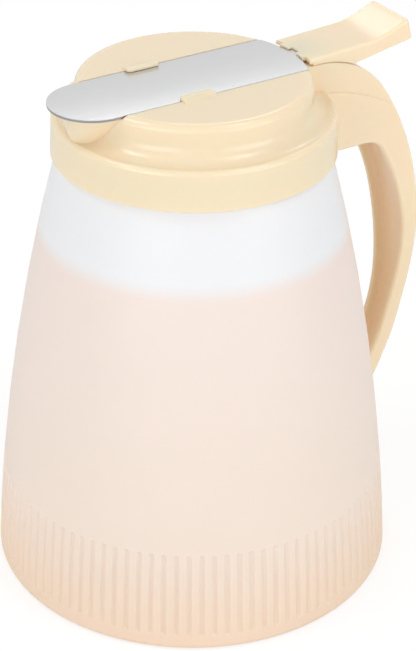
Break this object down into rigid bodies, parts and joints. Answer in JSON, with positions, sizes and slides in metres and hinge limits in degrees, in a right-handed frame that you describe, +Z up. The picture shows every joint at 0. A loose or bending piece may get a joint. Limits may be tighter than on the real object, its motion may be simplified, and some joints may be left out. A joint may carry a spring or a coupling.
{
  "type": "syrup dispenser",
  "caption": "Syrup dispenser: tapered translucent jar with a fluted base, and a screw-on pouring lid with a moulded handle, a sprung sliding steel gate and a thumb trigger.",
  "frame": {"origin": "on the jar's axis at the plane of the foot ring that it stands on", "axes": "+Z up along the jar's axis, +X towards the handle and trigger, -X towards the spout"},
  "size_m": [0.1484, 0.1312, 0.1759],
  "materials": {
    "jar": "satin, translucent",
    "lid": "satin",
    "gasket": "satin",
    "gate": "satin",
    "spring": "drawn wire"
  },
  "bodies": {
    "jar": {"jar": "jar"},
    "gasket": {"neck_gasket": "gasket"},
    "lid": {"lid": "lid", "return_spring": "spring"},
    "gate": {"slide_gate": "gate", "trigger": "lid"}
  },
  "joints": [
    {"name": "lid_lift", "type": "slide", "parent": "jar", "child": "gasket", "axis": [0, 0, 1], "range_m": [0, 0.0075]},
    {"name": "lid_turn", "type": "hinge", "parent": "gasket", "child": "lid", "pos_m": [0, 0, 0], "axis": [0, 0, 1], "range_deg": [0, 540]},
    {"name": "gate_slide", "type": "slide", "parent": "lid", "child": "gate", "axis": [1, 0, 0], "range_m": [0, 0.012], "stiffness_N_per_m": 700, "springref_m": -0.002, "deforming": ["return_spring"]}
  ],
  "couplings": [
    {"joint": "lid_lift", "follows": "lid_turn", "m_per_rad": 0.00079577}
  ]
}
